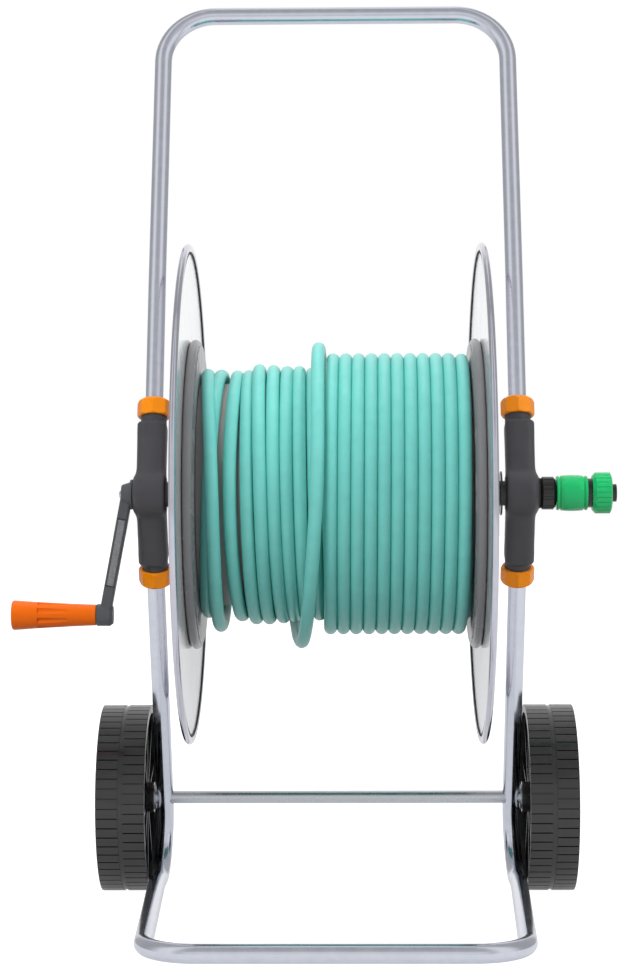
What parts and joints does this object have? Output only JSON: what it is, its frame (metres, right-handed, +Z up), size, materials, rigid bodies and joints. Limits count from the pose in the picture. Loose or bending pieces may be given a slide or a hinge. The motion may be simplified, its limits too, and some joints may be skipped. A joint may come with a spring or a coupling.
{
  "type": "hose reel cart",
  "caption": "Two-wheeled garden hose reel cart with a bent tube frame, a hand-cranked reel between white flanges and a wound turquoise hose.",
  "frame": {"origin": "centre of the cart's bounding box, on the floor", "axes": "+Z up, +X along the axle and reel axis to the water inlet, -Y to the front, where the foot loop rests; the crank is on the -X side"},
  "size_m": [0.603, 0.511, 0.9413],
  "materials": {
    "tube_paint": "satin silver-grey powder coat",
    "flange_paint": "gloss off-white paint on sheet steel",
    "bracket_plastic": "fine-grained moulded nylon",
    "orange_plastic": "semi-gloss moulded",
    "grip_plastic": "satin moulded",
    "crank_plastic": "satin glass-filled nylon",
    "drum_plastic": "satin polypropylene",
    "hose_skin": "semi-gloss flexible PVC, turquoise",
    "wheel_plastic": "moulded, slightly grained",
    "black_plastic": "satin moulded",
    "green_plastic": "semi-gloss moulded",
    "bush_plastic": "natural acetal",
    "bright_steel": "zinc plated",
    "seal_rubber": "soft black"
  },
  "bodies": {
    "frame": {"handle_tube": "tube_paint", "base_tube": "tube_paint", "axle_tube": "bright_steel", "right_bracket": "bracket_plastic", "left_bracket": "bracket_plastic", "ring_nuts": "orange_plastic", "clamp_collars": "bracket_plastic", "bearing_bushes": "bush_plastic", "axle_washers": "bright_steel", "axle_clips": "bright_steel"},
    "right_wheel": {"right_wheel": "wheel_plastic", "right_hub_cap": "wheel_plastic"},
    "left_wheel": {"left_wheel": "wheel_plastic", "left_hub_cap": "wheel_plastic"},
    "reel": {"right_flange": "flange_paint", "left_flange": "flange_paint", "right_drum_disc": "drum_plastic", "left_drum_disc": "drum_plastic", "drum_barrel": "drum_plastic", "flange_screws": "bright_steel", "hub_screws": "bright_steel", "thrust_washers": "black_plastic", "crank_shaft": "crank_plastic", "water_shaft": "black_plastic", "lead_nut": "black_plastic", "crank_arm": "crank_plastic", "crank_screw": "bright_steel", "grip_spindle": "bright_steel", "spindle_clip": "bright_steel", "inlet_nut": "black_plastic", "inlet_washer": "seal_rubber", "hose_coil": "hose_skin", "hose_lead": "hose_skin", "hose_tail": "hose_skin", "tail_fitting": "green_plastic", "tail_nut": "black_plastic"},
    "grip": {"grip": "grip_plastic", "grip_cap": "grip_plastic"},
    "inlet": {"inlet_nipple": "black_plastic", "o_rings": "seal_rubber", "connector_core": "black_plastic", "hose_nut": "green_plastic", "hose_collet": "black_plastic"},
    "sleeve": {"connector_sleeve": "green_plastic"}
  },
  "joints": [
    {"name": "right_wheel_spin", "type": "hinge", "parent": "frame", "child": "right_wheel", "pos_m": [0.2441, 0.1565, 0.0975], "axis": [1, 0, 0], "continuous": true},
    {"name": "left_wheel_spin", "type": "hinge", "parent": "frame", "child": "left_wheel", "pos_m": [-0.1999, 0.1565, 0.0975], "axis": [1, 0, 0], "continuous": true},
    {"name": "reel_spin", "type": "hinge", "parent": "frame", "child": "reel", "pos_m": [0.0221, 0.0065, 0.419], "axis": [1, 0, 0], "continuous": true},
    {"name": "grip_spin", "type": "hinge", "parent": "reel", "child": "grip", "pos_m": [-0.2596, 0.0065, 0.2987], "axis": [1, 0, 0], "continuous": true},
    {"name": "inlet_swivel", "type": "hinge", "parent": "frame", "child": "inlet", "pos_m": [0.2571, 0.0065, 0.419], "axis": [1, 0, 0], "continuous": true},
    {"name": "sleeve_slide", "type": "slide", "parent": "inlet", "child": "sleeve", "axis": [1, 0, 0], "range_m": [0, 0.004], "stiffness_N_per_m": 900, "springref_m": -0.002}
  ]
}
